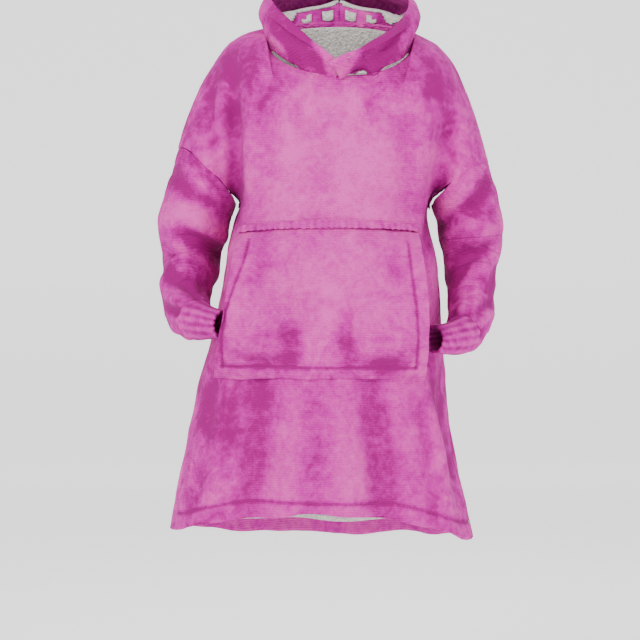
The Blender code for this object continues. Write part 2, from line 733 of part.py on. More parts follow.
def hood_point(side, turn, row, lift):
    _, share, front_out, front_up, side_out, side_up, back_out, back_up = HOOD_ROWS[row]
    angle = math.radians(turn)
    sideways = math.sin(angle)
    lengthways = math.cos(angle)
    if turn <= 90:
        ahead = -lengthways * (front_out + lift)
        up = mix(side_up, front_up, lengthways ** 2)
    else:
        ahead = -lengthways * back_out
        up = mix(side_up, back_up, lengthways ** 4)
    start = neck_point(side, clamp(turn, 0, 180))
    step = 90 / NECK_COLUMNS
    near = math.floor(clamp(turn, 0, 179.9) / step) * step
    along = (clamp(turn, 0, 180) - near) / step
    chord = neck_point(side, near).lerp(neck_point(side, near + step), along)
    point = chord.lerp(start, clamp(row / 2)).lerp(rim_point(side, turn), share)
    seat = HOOD_SEAT * (1 + 4 * ease((turn - 25) / 30) * ease((125 - turn) / 30))
    return point + Vector((side * sideways * side_out, ahead, up + seat))


def make_hood(panels):
    """Both halves of the hood, and the sherpa that lines them."""
    tree_points = []
    tree_faces = []
    for face in ("front", "back"):
        grid, _ = panels[face]
        base = len(tree_points)
        columns = len(grid[0])
        tree_points += [p for line in grid for p in line]
        for r in range(len(grid) - 1):
            for c in range(columns - 1):
                a = base + r * columns + c
                tree_faces.append((a, a + 1, a + columns + 1))
                tree_faces.append((a, a + columns + 1, a + columns))
    body = BVHTree.FromPolygons(tree_points, tree_faces)

    def clear(point, row):
        """Moves a point behind the back panel out of it, and one on the shoulder up."""
        if point.y > 0.02:
            hit, _, _, _ = body.ray_cast(Vector((point.x, 1.0, point.z)), Vector((0, -1, 0)))
            behind = HOOD_ROOM_BEHIND[min(row, 8)]
            if hit is not None and point.y < hit.y + behind:
                point.y = hit.y + behind
        hit, _, _, _ = body.ray_cast(Vector((point.x, point.y, 1.0)), Vector((0, 0, -1)))
        above = HOOD_ROOM_ABOVE[min(row, 8)]
        if hit is not None and point.z < hit.z + above and point.y < 0.10:
            point.z = hit.z + above
        return point

    for side in (-1, 1):
        name = "left" if side < 0 else "right"
        first = -HOOD_LAP if side > 0 else 3.0
        turns = [first] + [180 * k / HOOD_COLUMNS for k in range(1, HOOD_COLUMNS + 1)]
        grid = []
        for r in range(len(HOOD_ROWS)):
            line = []
            for turn in turns:
                front = 1 - ease(abs(turn) / 40)
                lift = LAP_STEP * front if side > 0 else 0.0
                line.append(hood_point(side, turn, r, lift))
            grid.append(line)
        for _ in range(HOOD_SMOOTHING):
            for r in range(1, len(grid)):
                grid[r] = [clear(p, r) for p in grid[r]]
            copy = [[p.copy() for p in line] for line in grid]
            for r in range(1, len(grid) - 1):
                for c in range(1, len(turns) - 1):
                    around = copy[r - 1][c] + copy[r + 1][c] + copy[r][c - 1] + copy[r][c + 1]
                    grid[r][c] = copy[r][c] * 0.5 + around * 0.125
        for r, line in enumerate(grid):
            if r > 0:
                grid[r] = [clear(p, r) for p in line]
            grid[r][-1].x = NECK_SHIFT + side * SEAM_GAP / 2
        normals = grid_normals(grid)
        middle = HOOD_COLUMNS // 2
        if normals[2][middle].dot(Vector((side, 0, 0))) < 0:
            normals = [[-n for n in line] for line in normals]
        for line in normals:
            line[-1] = Vector((0, line[-1].y, line[-1].z)).normalized()

        def pressed(r, c):
            """Share of the full thickness where the folds crowd over the shoulders and in front."""
            rows = [n for n in (r - 1, r + 1) if 0 <= n < len(grid)]
            apart = min((grid[n][k] - grid[r][k]).length
                        for n in rows for k in range(max(0, c - 1), min(len(turns), c + 2)))
            return mix(0.5, 1.0, ease(turns[c] / 45)) * clamp(apart / HOOD_CROWDING, 0.25)

        def thickness(r, c):
            puff = RIM_PUFF * ease((r - 11) / 2) * ease(turns[c] / 60)
            return -(HOOD_FLEECE + puff) * pressed(r, c)

        def lining_near(r, c):
            return -HOOD_FLEECE * pressed(r, c) - SEAM_GAP

        def lining_far(r, c):
            return -(HOOD_FLEECE + HOOD_SHERPA) * pressed(r, c) - SEAM_GAP

        wall("hood_" + name, grid, moved(grid, normals, thickness), "fleece")
        lined = grid[:-3]
        lined_normals = normals[:-3]
        near = moved(lined, lined_normals, lining_near)
        far = moved(lined, lined_normals, lining_far)
        wall("hood_lining_" + name, near, far, "sherpa")


def main():
    for old in list(bpy.data.objects):
        bpy.data.objects.remove(old, do_unlink=True)
    panels = make_body()
    for side in (-1, 1):
        make_sleeve(side)
    make_pocket(*panels["front"])
    make_hood(panels)


main()
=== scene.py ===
import math

import bmesh
import bpy
import numpy as np
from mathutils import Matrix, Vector, noise
from mathutils.bvhtree import BVHTree
from mathutils.kdtree import KDTree


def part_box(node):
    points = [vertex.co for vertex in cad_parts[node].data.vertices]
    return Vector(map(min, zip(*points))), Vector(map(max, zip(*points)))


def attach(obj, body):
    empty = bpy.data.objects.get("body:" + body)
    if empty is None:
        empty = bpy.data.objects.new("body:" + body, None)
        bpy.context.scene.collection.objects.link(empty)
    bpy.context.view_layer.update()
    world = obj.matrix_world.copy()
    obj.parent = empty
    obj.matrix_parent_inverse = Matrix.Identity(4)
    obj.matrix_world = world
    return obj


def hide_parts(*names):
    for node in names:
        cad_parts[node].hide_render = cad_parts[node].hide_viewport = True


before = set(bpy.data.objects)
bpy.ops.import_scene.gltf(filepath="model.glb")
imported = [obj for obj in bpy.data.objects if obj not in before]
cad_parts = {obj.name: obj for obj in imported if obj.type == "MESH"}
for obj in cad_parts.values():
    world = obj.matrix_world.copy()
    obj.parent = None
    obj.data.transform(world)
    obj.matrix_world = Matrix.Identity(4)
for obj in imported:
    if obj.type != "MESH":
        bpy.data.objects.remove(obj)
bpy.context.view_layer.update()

# Camera and studio. The camera stands at half the garment's height, 3.3 m in front of it. The
# floor is pale board that curves up into the backdrop, lit a little from behind, under large
# soft lamps.
CAMERA_X = -0.0255
CAMERA_DISTANCE = 3.3
HALF_HEIGHT = -0.493
camera = bpy.data.objects.new("camera", bpy.data.cameras.new("camera"))
bpy.context.scene.collection.objects.link(camera)
camera.location = (CAMERA_X, -CAMERA_DISTANCE, HALF_HEIGHT)
camera.rotation_euler = (math.radians(90), 0, 0)
camera.data.sensor_width = 36
camera.data.lens = 109.2
camera.data.clip_end = 50
bpy.context.scene.camera = camera

FLOOR_Z = -1.30
FLOOR_FRONT_Y = -8.0
HALF_FLOOR_WIDTH = 9.0
BACKDROP_Y = 8.0
BACKDROP_HEIGHT = 4.0
CURVE_RADIUS = 1.2
curve_start = BACKDROP_Y - CURVE_RADIUS
sweep = bmesh.new()
floor_edge = [sweep.verts.new((x, FLOOR_FRONT_Y, FLOOR_Z)) for x in (-HALF_FLOOR_WIDTH, HALF_FLOOR_WIDTH)]
front_edge = sweep.edges.new(floor_edge)
flat = bmesh.ops.extrude_edge_only(sweep, edges=[front_edge])
moved = [v for v in flat["geom"] if isinstance(v, bmesh.types.BMVert)]
bmesh.ops.translate(sweep, verts=moved, vec=(0, curve_start - FLOOR_FRONT_Y, 0))
far_edge = [e for e in flat["geom"] if isinstance(e, bmesh.types.BMEdge)]
curve = bmesh.ops.spin(sweep, geom=far_edge + moved, cent=(0, curve_start, FLOOR_Z + CURVE_RADIUS),
                       axis=(1, 0, 0), angle=math.radians(90), steps=16)
top_edges = [e for e in curve["geom_last"] if isinstance(e, bmesh.types.BMEdge)]
wall = bmesh.ops.extrude_edge_only(sweep, edges=top_edges)
wall_top = [v for v in wall["geom"] if isinstance(v, bmesh.types.BMVert)]
bmesh.ops.translate(sweep, verts=wall_top, vec=(0, 0, BACKDROP_HEIGHT))
bmesh.ops.recalc_face_normals(sweep, faces=sweep.faces)
floor_mesh = bpy.data.meshes.new("floor")
sweep.to_mesh(floor_mesh)
sweep.free()
floor_mesh.shade_smooth()
floor = bpy.data.objects.new("floor", floor_mesh)
bpy.context.scene.collection.objects.link(floor)
board = bpy.data.materials.new("pale_board")
board.use_nodes = True
board_surface = board.node_tree.nodes["Principled BSDF"]
board_surface.inputs["Base Color"].default_value = (0.97, 0.97, 0.97, 1)
board_surface.inputs["Roughness"].default_value = 0.9
board_surface.inputs["Emission Color"].default_value = (1.0, 1.0, 1.0, 1)
board_surface.inputs["Emission Strength"].default_value = 0.5
floor_mesh.materials.append(board)

world = bpy.data.worlds.new("studio")
world.use_nodes = True
world.node_tree.nodes["Background"].inputs["Color"].default_value = (1.0, 1.0, 1.0, 1)
world.node_tree.nodes["Background"].inputs["Strength"].default_value = 1.0
bpy.context.scene.world = world


def lamp(name, place, aim, size, power):
    """A square soft lamp at a place, facing an aim point."""
    light = bpy.data.lights.new(name, "AREA")
    light.size = size
    light.energy = power
    holder = bpy.data.objects.new(name, light)
    holder.location = place
    holder.rotation_euler = (Vector(aim) - Vector(place)).to_track_quat("-Z", "Y").to_euler()
    bpy.context.scene.collection.objects.link(holder)


lamp("key", (-1.7, -2.9, 1.9), (0, 0, -0.45), 1.6, 125)
lamp("fill", (2.4, -2.6, 0.3), (0, 0, -0.5), 2.2, 44)
lamp("rim", (0.6, 2.2, 1.8), (0, 0, -0.3), 1.6, 40)

# Front panel. One wide drop-shoulder piece of printed flannel fleece, pink with magenta where
# the nap is brushed the other way, sewn to the back at the shoulders and sides, hem turned up.
# The shade in its folds and seam grooves is painted in the same magenta.
PALE_PINK = (0.71, 0.068, 0.41, 1)
PINK = (0.61, 0.040, 0.355, 1)
MAGENTA = (0.49, 0.010, 0.30, 1)
DEEP_MAGENTA = (0.29, 0.004, 0.16, 1)
RIB_PITCH = 0.0038
RIB_WANDER = 0.0032
SHOULDER_FADE = 0.03
SIDE_LEAN = 0.45


def linked(tree, kind, place, **inputs):
    """A shader node with its sockets set to numbers or joined to other nodes' outputs."""
    made = tree.nodes.new(kind)
    made.location = place
    for name, value in inputs.items():
        if isinstance(value, bpy.types.NodeSocket):
            tree.links.new(value, made.inputs[name])
        else:
            made.inputs[name].default_value = value
    return made


def sum_of(tree, operation, place, a, b, c=None):
    """A Math node's result."""
    made = tree.nodes.new("ShaderNodeMath")
    made.operation = operation
    made.location = place
    for socket, value in zip(made.inputs, (a, b, c)):
        if isinstance(value, bpy.types.NodeSocket):
            tree.links.new(value, socket)
        elif value is not None:
            socket.default_value = value
    return made.outputs[0]


def colour_steps(tree, place, factor, steps):
    """A colour ramp with its stops given as (position, colour)."""
    ramp = tree.nodes.new("ShaderNodeValToRGB")
    ramp.location = place
    tree.links.new(factor, ramp.inputs[0])
    while len(ramp.color_ramp.elements) < len(steps):
        ramp.color_ramp.elements.new(0.5)
    for stop, (position, colour) in zip(ramp.color_ramp.elements, steps):
        stop.position = position
        stop.color = colour
    return ramp.outputs[0]


def flannel_fleece(name):
    """Brushed fleece: nap patches with painted shade in folds and painted highlights on ridges, fine ribs
    across the cloth, short pile and a soft sheen.
    """
    made = bpy.data.materials.new(name)
    made.use_nodes = True
    tree = made.node_tree
    body = tree.nodes["Principled BSDF"]
    place = tree.nodes.new("ShaderNodeTexCoord").outputs["Object"]
    nap_and_shading = linked(tree, "ShaderNodeAttribute", (-1400, 200))
    nap_and_shading.attribute_name = "nap_and_shading"
    across = linked(tree, "ShaderNodeAttribute", (-1400, -300))
    across.attribute_name = "across"
    patches = linked(tree, "ShaderNodeTexNoise", (-1200, 300), Vector=place, Scale=19.0, Detail=5.0,
                     Roughness=0.62, Distortion=0.9)
    strokes = linked(tree, "ShaderNodeTexNoise", (-1200, 60), Vector=place, Scale=85.0, Detail=5.0,
                     Roughness=0.7, Distortion=0.4)
    pile = linked(tree, "ShaderNodeTexNoise", (-1200, -160), Vector=place, Scale=620.0, Detail=3.0,
                  Roughness=0.7)
    wander = linked(tree, "ShaderNodeTexNoise", (-1200, -500), Vector=place, Scale=34.0, Detail=2.0)
    mottle = linked(tree, "ShaderNodeAttribute", (-1400, 400))
    mottle.attribute_name = "mottle"
    middling = sum_of(tree, "SUBTRACT", (-1000, 400), patches.outputs[0], 0.5)
    broad = sum_of(tree, "MULTIPLY", (-1000, 300), middling, mottle.outputs["Fac"])
    fine = sum_of(tree, "MULTIPLY_ADD", (-1000, 100), strokes.outputs[0], 1.3, -0.65)
    both = sum_of(tree, "ADD", (-820, 240), broad, fine)
    share = sum_of(tree, "ADD", (-660, 240), both, nap_and_shading.outputs["Fac"])
    bent = sum_of(tree, "MULTIPLY_ADD", (-1000, -400), wander.outputs[0], RIB_WANDER, across.outputs["Fac"])
    turns = sum_of(tree, "MULTIPLY", (-820, -400), bent, 2 * math.pi / RIB_PITCH)
    wave = sum_of(tree, "SINE", (-660, -400), turns, None)
    grain = sum_of(tree, "MULTIPLY_ADD", (-660, -160), pile.outputs[0], 1.5, -0.75)
    lines = sum_of(tree, "MULTIPLY_ADD", (-500, -300), wave, 0.20, grain)
    toned = sum_of(tree, "MULTIPLY_ADD", (-340, 100), lines, 0.30, share)
    # The ramp goes from pale pink to deep magenta as the attribute rises: brushed nap, plus painted shade in
    # folds, seam grooves and hollows.
    ramp = colour_steps(tree, (-160, 200), toned, [
        (0.0, PALE_PINK), (0.30, PINK), (0.62, MAGENTA), (1.0, DEEP_MAGENTA)])
    tree.links.new(ramp, body.inputs["Base Color"])
    relief = sum_of(tree, "MULTIPLY_ADD", (-340, -300), wave, 0.30, grain)
    bump = linked(tree, "ShaderNodeBump", (-160, -300), Height=relief)
    bump.inputs["Strength"].default_value = 0.75
    bump.inputs["Distance"].default_value = 0.0011
    tree.links.new(bump.outputs[0], body.inputs["Normal"])
    body.inputs["Roughness"].default_value = 0.86
    body.inputs["Specular IOR Level"].default_value = 0.05
    body.inputs["Sheen Weight"].default_value = 0.12
    body.inputs["Sheen Roughness"].default_value = 0.38
    body.inputs["Sheen Tint"].default_value = (1.0, 0.42, 0.78, 1)
    return made


def laid_on(node, levels):
    """The node's solid as cloth: merged, in quads, and divided finely, with its edges kept."""
    work = bmesh.new()
    work.from_mesh(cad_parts[node].data)
    bmesh.ops.remove_doubles(work, verts=work.verts, dist=0.00003)
    bmesh.ops.join_triangles(work, faces=work.faces, angle_face_threshold=math.radians(50),
                             angle_shape_threshold=math.radians(70))
    crease = work.edges.layers.float.new("crease_edge")
    for edge in work.edges:
        if len(edge.link_faces) == 2 and edge.calc_face_angle(0.0) > math.radians(55):
            edge[crease] = 0.85
    mesh = bpy.data.meshes.new(node)
    work.to_mesh(mesh)
    work.free()
    carrier = bpy.data.objects.new(node + "_rough", mesh)
    bpy.context.scene.collection.objects.link(carrier)
    finer = carrier.modifiers.new("finer", "SUBSURF")
    finer.levels = levels
    finer.render_levels = levels
    bpy.context.view_layer.update()
    done = bpy.data.meshes.new_from_object(carrier.evaluated_get(bpy.context.evaluated_depsgraph_get()))
    bpy.data.objects.remove(carrier)
    return done


def places_of(mesh):
    """The mesh's points and their normals, as two tables."""
    points = np.empty(len(mesh.vertices) * 3)
    mesh.vertices.foreach_get("co", points)
    normals = np.array([v.normal[:] for v in mesh.vertices])
    return points.reshape(-1, 3), normals


def smooth_step(value):
    """A soft step from 0 to 1 as the value goes from 0 to 1."""
    value = np.clip(value, 0, 1)
    return value * value * (3 - 2 * value)


def near_line(flat, line):
    """Distance from a drawn line, the side of it, and the share of its length, for each place."""
    line = np.array(line)
    steps = np.linalg.norm(np.diff(line, axis=0), axis=1)
    distance = np.full(len(flat), 9.0)
    side = np.zeros(len(flat))
    share = np.zeros(len(flat))
    run = 0.0
    for start, end, step in zip(line, line[1:], steps):
        way = end - start
        t = np.clip((flat - start) @ way / step ** 2, 0, 1)
        off = flat - (start + t[:, None] * way)
        reach = np.linalg.norm(off, axis=1)
        nearer = reach < distance
        distance[nearer] = reach[nearer]
        side[nearer] = np.sign(way[0] * off[:, 1] - way[1] * off[:, 0])[nearer]
        share[nearer] = (run + t * step)[nearer] / steps.sum()
        run += step
    return distance, side, share


def fold_relief(points, folds, facing=None):
    """Height of the cloth over its solid. A fold is a soft trough with a low lip on one side."""
    flat = points[:, [0, 2]]
    height = np.zeros(len(points))
    for _, depth, width, lip, line in folds:
        distance, side, share = near_line(flat, line)
        uneven = 1 + 0.22 * np.sin(share * 9.0 + depth * 900)
        taper = np.clip(np.sin(math.pi * np.clip(share, 0.02, 0.98)), 0, 1) ** 0.5 * uneven
        height -= depth * taper * np.exp(-(distance / width) ** 2)
        beside = distance * side * np.sign(lip or 1) - 1.9 * width
        height += abs(lip) * abs(depth) * taper * np.exp(-(beside / (1.3 * width)) ** 2)
    if facing is not None:
        height *= facing
    return height


def seam_groove(points, line, depth, width):
    """A row of stitches sinks into the cloth: its depth, and the painted shade along its groove."""
    distance, _, _ = near_line(points[:, [0, 2]], line)
    sunk = np.exp(-(distance / width) ** 2)
    return -depth * sunk, 0.55 * sunk


def rumple(points, size, height, start):
    """Low, uneven waves that soft cloth always has."""
    shift = Vector((start, 2.7 * start, -start))
    return height * np.array([noise.fractal(Vector(p) / size + shift, 0.8, 2.0, 2) for p in points])


def raise_cloth(mesh, outer, height):
    """Moves the outer side along its normals, and the inner side with the outer point over it."""
    points, normals = places_of(mesh)
    shift = normals * height[:, None]
    over = KDTree(int(outer.sum()))
    index = np.nonzero(outer)[0]
    for i in index:
        over.insert(points[i], int(i))
    over.balance()
    for i in np.nonzero(~outer)[0]:
        shift[i] = shift[over.find(points[i])[1]]
    points += shift
    mesh.vertices.foreach_set("co", points.ravel())
    mesh.update()


def panel_outside(points, normals, away):
    """Which points are on a body panel's outer side, where away is -1 at the front, 1 at the back."""
    return away * normals[:, 1] + SIDE_LEAN * normals[:, 0] * np.sign(points[:, 0]) > 0


def shoulder_share(points):
    """How much of a fold's height is left near the shoulder seams, where the cloth is held."""
    return np.clip((points[:, 2].max() - points[:, 2]) / SHOULDER_FADE, 0, 1)


def note(mesh, name, values):
    """Stores one number for each point of the cloth for its material to read."""
    attribute = mesh.attributes.new(name, "FLOAT", "POINT")
    attribute.data.foreach_set("value", np.asarray(values, dtype=np.float32))


def patches_of(points, base, spots):
    """How far the colour goes to magenta: a base share and round soft spots of brushed nap, and on the
    pocket's lower edge of painted shade.
    """
    flat = points[:, [0, 2]]
    nap_and_shading = np.full(len(points), base)
    for x, z, radius, amount in spots:
        nap_and_shading += amount * np.exp(-(np.linalg.norm(flat - (x, z), axis=1) / radius) ** 2)
    return nap_and_shading


def sewn_on(name, mesh, node, slot, finishes, sheet=None, **cut):
    """Makes the cloth an object that stands for its CAD node, with its finish; its cut is not used."""
    mesh.shade_smooth()
    mesh.materials.clear()
    for finish in finishes:
        mesh.materials.append(finish)
    piece = bpy.data.objects.new(name, mesh)
    bpy.context.scene.collection.objects.link(piece)
    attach(piece, "root")
    if node:
        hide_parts(node)
    return piece


fleece = flannel_fleece("flannel_fleece")
FRONT_FOLDS = [
    ("underarm_right", 0.009, 0.014, 0.35,
     [(0.192, -0.13), (0.190, -0.167), (0.186, -0.229), (0.176, -0.265), (0.166, -0.320),
      (0.156, -0.372), (0.138, -0.43)]),
    ("underarm_left", 0.011, 0.012, -0.45,
     [(-0.174, -0.04), (-0.173, -0.068), (-0.171, -0.134), (-0.167, -0.227), (-0.165, -0.36)]),
    ("shoulder_left", 0.007, 0.011, -0.4,
     [(-0.198, -0.05), (-0.208, -0.144), (-0.196, -0.209), (-0.19, -0.29)]),
    ("shoulder_right", 0.004, 0.016, 0.3, [(0.150, -0.05), (0.158, -0.12), (0.166, -0.20)]),
    ("chest_left", 0.004, 0.020, 0.3, [(-0.13, -0.10), (-0.115, -0.16), (-0.118, -0.24), (-0.13, -0.33)]),
    ("chest_right", 0.004, 0.020, -0.3, [(0.10, -0.13), (0.115, -0.20), (0.118, -0.28), (0.11, -0.34)]),
    ("chest_middle", 0.003, 0.030, 0.3, [(-0.03, -0.14), (-0.02, -0.22), (-0.035, -0.31)]),
    ("under_neck_left", 0.003, 0.012, 0.3, [(-0.10, -0.085), (-0.07, -0.125), (-0.055, -0.19)]),
    ("under_neck_right", 0.003, 0.012, -0.3, [(0.085, -0.085), (0.06, -0.125), (0.05, -0.18)]),
    ("skirt_left", 0.010, 0.026, 0.35,
     [(-0.118, -0.56), (-0.120, -0.60), (-0.129, -0.671), (-0.139, -0.752), (-0.147, -0.84)]),
    ("skirt_right", 0.010, 0.026, -0.35,
     [(0.050, -0.56), (0.055, -0.61), (0.065, -0.671), (0.078, -0.752), (0.088, -0.84)]),
    ("skirt_middle", 0.004, 0.030, 0.3, [(-0.035, -0.60), (-0.030, -0.70), (-0.040, -0.82)]),
    ("side_pleat_right", 0.010, 0.011, -0.5,
     [(0.150, -0.52), (0.157, -0.575), (0.173, -0.63), (0.190, -0.70), (0.200, -0.80)]),
    ("side_right", 0.006, 0.014, 0.3, [(0.135, -0.60), (0.150, -0.68), (0.160, -0.76), (0.165, -0.84)]),
    ("side_left", 0.006, 0.015, -0.3, [(-0.200, -0.57), (-0.212, -0.65), (-0.226, -0.76), (-0.232, -0.84)]),
    ("skirt_left_edge", 0.005, 0.016, 0.3, [(-0.170, -0.60), (-0.178, -0.68), (-0.190, -0.78)]),
]
FRONT_HEM_SEAM = [(-0.262, -0.815), (-0.221, -0.800), (-0.147, -0.786), (-0.069, -0.788), (0.023, -0.790),
                  (0.098, -0.790), (0.165, -0.809), (0.214, -0.829), (0.24, -0.838)]
FRONT_NAP = [
    (-0.20, -0.09, 0.07, 0.45), (0.19, -0.10, 0.06, 0.38), (-0.09, -0.10, 0.06, 0.22),
    (0.10, -0.11, 0.06, 0.22), (-0.14, -0.05, 0.05, 0.30), (0.16, -0.04, 0.05, 0.30),
    (-0.23, -0.17, 0.06, 0.40), (0.22, -0.19, 0.06, 0.34), (-0.20, -0.63, 0.05, 0.45),
    (-0.12, -0.60, 0.05, 0.18), (0.165, -0.30, 0.05, 0.28), (-0.17, -0.30, 0.03, 0.30),
    (0.0, -0.25, 0.10, -0.22), (0.02, -0.70, 0.12, -0.08), (0.17, -0.60, 0.05, 0.20),
    (-0.05, -0.60, 0.10, 0.06),
]
front = laid_on("front_panel", 3)
points, normals = places_of(front)
relief = fold_relief(points, FRONT_FOLDS)
relief = relief + rumple(points, 0.075, 0.0022, 3.0) + rumple(points, 0.022, 0.0005, 9.0)
relief *= shoulder_share(points)
sunk, groove_shade = seam_groove(points, FRONT_HEM_SEAM, 0.0024, 0.0034)
raise_cloth(front, panel_outside(points, normals, -1), relief + sunk)
from_middle = np.abs(points[:, 0])
on_skirt = smooth_step((-0.48 - points[:, 2]) / 0.12)
on_chest = smooth_step((points[:, 2] + 0.24) / 0.14)
at_sides = smooth_step((from_middle - 0.13) / 0.06)
slant = from_middle * smooth_step((from_middle - 0.14) / 0.08)
nap_and_shading = patches_of(points, 0.30, FRONT_NAP) + 0.20 * on_skirt
# Folds are painted darker towards magenta in their troughs as painted shade and paler on their ridges as
# painted highlight; the hem groove adds painted shade.
note(front, "nap_and_shading", nap_and_shading + np.clip(-relief / 0.016, -0.15, 0.4) + groove_shade)
note(front, "mottle", 0.75 + 1.3 * np.maximum(on_chest, at_sides))
note(front, "across", points[:, 2] + 0.35 * slant)
front_cloth = sewn_on("front_panel_cloth", front, "front_panel", "fleece", [fleece], (0.78, 0.86),
                      held="hung", rests_on=["back_panel"])

# Back panel. The same fleece, cut as wide as the front and longer, so its hem hangs lower. Soft
# folds fall from the shoulder blades and widen towards the hem.
BACK_FOLDS = [
    ("underarm_right", 0.009, 0.014, 0.35,
     [(0.190, -0.10), (0.184, -0.19), (0.172, -0.27), (0.160, -0.36), (0.150, -0.46)]),
    ("underarm_left", 0.009, 0.014, -0.35,
     [(-0.195, -0.10), (-0.188, -0.19), (-0.176, -0.27), (-0.168, -0.36), (-0.160, -0.46)]),
    ("blade_left", 0.006, 0.020, 0.3, [(-0.12, -0.13), (-0.10, -0.25), (-0.105, -0.40), (-0.13, -0.56)]),
    ("blade_right", 0.006, 0.020, -0.3, [(0.11, -0.15), (0.095, -0.26), (0.10, -0.41), (0.12, -0.55)]),
    ("skirt_left", 0.010, 0.028, 0.3, [(-0.095, -0.50), (-0.105, -0.62), (-0.122, -0.74), (-0.135, -0.87)]),
    ("skirt_middle", 0.009, 0.030, -0.3, [(0.000, -0.46), (0.004, -0.60), (-0.004, -0.74), (0.004, -0.87)]),
    ("skirt_right", 0.010, 0.028, -0.3, [(0.085, -0.50), (0.094, -0.62), (0.110, -0.74), (0.120, -0.87)]),
    ("side_left", 0.007, 0.018, 0.3, [(-0.180, -0.55), (-0.198, -0.68), (-0.210, -0.85)]),
    ("side_right", 0.007, 0.018, -0.3, [(0.160, -0.55), (0.175, -0.68), (0.185, -0.85)]),
]
BACK_NAP = [
    (-0.20, -0.10, 0.07, 0.40), (0.19, -0.10, 0.06, 0.36), (0.0, -0.20, 0.09, 0.15),
    (-0.12, -0.60, 0.08, 0.25), (0.12, -0.52, 0.07, 0.22), (0.0, -0.75, 0.10, 0.12),
    (-0.06, -0.36, 0.08, -0.12), (0.09, -0.30, 0.08, -0.10),
]
back = laid_on("back_panel", 2)
points, normals = places_of(back)
relief = fold_relief(points, BACK_FOLDS)
relief = relief + rumple(points, 0.080, 0.0024, 5.0) + rumple(points, 0.022, 0.0005, 2.0)
relief *= np.clip((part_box("back_panel")[1].z - points[:, 2]) / SHOULDER_FADE, 0, 1)
raise_cloth(back, panel_outside(points, normals, 1), relief)
# Folds are painted darker in their troughs as painted shade and paler on their ridges as painted highlight.
note(back, "nap_and_shading", patches_of(points, 0.32, BACK_NAP) + np.clip(-relief / 0.012, -0.2, 0.45))
note(back, "mottle", 1.3 + 1.1 * smooth_step((points[:, 2] + 0.24) / 0.14))
note(back, "across", points[:, 2])
sewn_on("back_panel_cloth", back, "back_panel", "fleece", [fleece], (0.80, 0.92), held="hung",
        rests_on=["front_panel_cloth"])

# Body linings. Curly sherpa fleece that lines the front and the back from the neck and the
# shoulders to just above the turned hem, sewn in with the seams and loose between them.
CREAM = (0.80, 0.775, 0.74, 1)
SHADED_CREAM = (0.52, 0.49, 0.46, 1)


def curly_sherpa(name):
    """Cream pile in small curls, with painted shade in the hollows between them."""
    made = bpy.data.materials.new(name)
    made.use_nodes = True
    tree = made.node_tree
    body = tree.nodes["Principled BSDF"]
    place = tree.nodes.new("ShaderNodeTexCoord").outputs["Object"]
    bend = linked(tree, "ShaderNodeTexNoise", (-1200, 100), Vector=place, Scale=120.0, Detail=2.0)
    mixed = tree.nodes.new("ShaderNodeMix")
    mixed.data_type = "VECTOR"
    mixed.inputs[0].default_value = 0.012
    tree.links.new(place, mixed.inputs[4])
    tree.links.new(bend.outputs["Color"], mixed.inputs[5])
    curls = linked(tree, "ShaderNodeTexVoronoi", (-800, 100), Vector=mixed.outputs[1], Scale=190.0)
    curls.feature = "SMOOTH_F1"
    curls.inputs["Smoothness"].default_value = 0.6
    fuzz = linked(tree, "ShaderNodeTexNoise", (-800, -200), Vector=place, Scale=700.0, Detail=4.0)
    deep = sum_of(tree, "MULTIPLY_ADD", (-600, 0), fuzz.outputs[0], 0.35, curls.outputs["Distance"])
    ramp = colour_steps(tree, (-400, 100), deep, [(0.15, CREAM), (0.85, SHADED_CREAM)])
    tree.links.new(ramp, body.inputs["Base Color"])
    up = sum_of(tree, "SUBTRACT", (-400, -200), 1.0, deep)
    bump = linked(tree, "ShaderNodeBump", (-200, -200), Height=up)
    bump.inputs["Strength"].default_value = 0.9
    bump.inputs["Distance"].default_value = 0.0035
    tree.links.new(bump.outputs[0], body.inputs["Normal"])
    body.inputs["Roughness"].default_value = 0.95
    body.inputs["Specular IOR Level"].default_value = 0.1
    body.inputs["Sheen Weight"].default_value = 0.3
    body.inputs["Sheen Roughness"].default_value = 0.5
    return made


sherpa = curly_sherpa("curly_sherpa")
LINING_GAP = 0.0012
LINING_PILE = 0.0035
LINING_ABOVE_HEM = 0.026
HEM_EDGE = 0.012
SEAM_WIDTH = 0.009
STRIP = 0.015


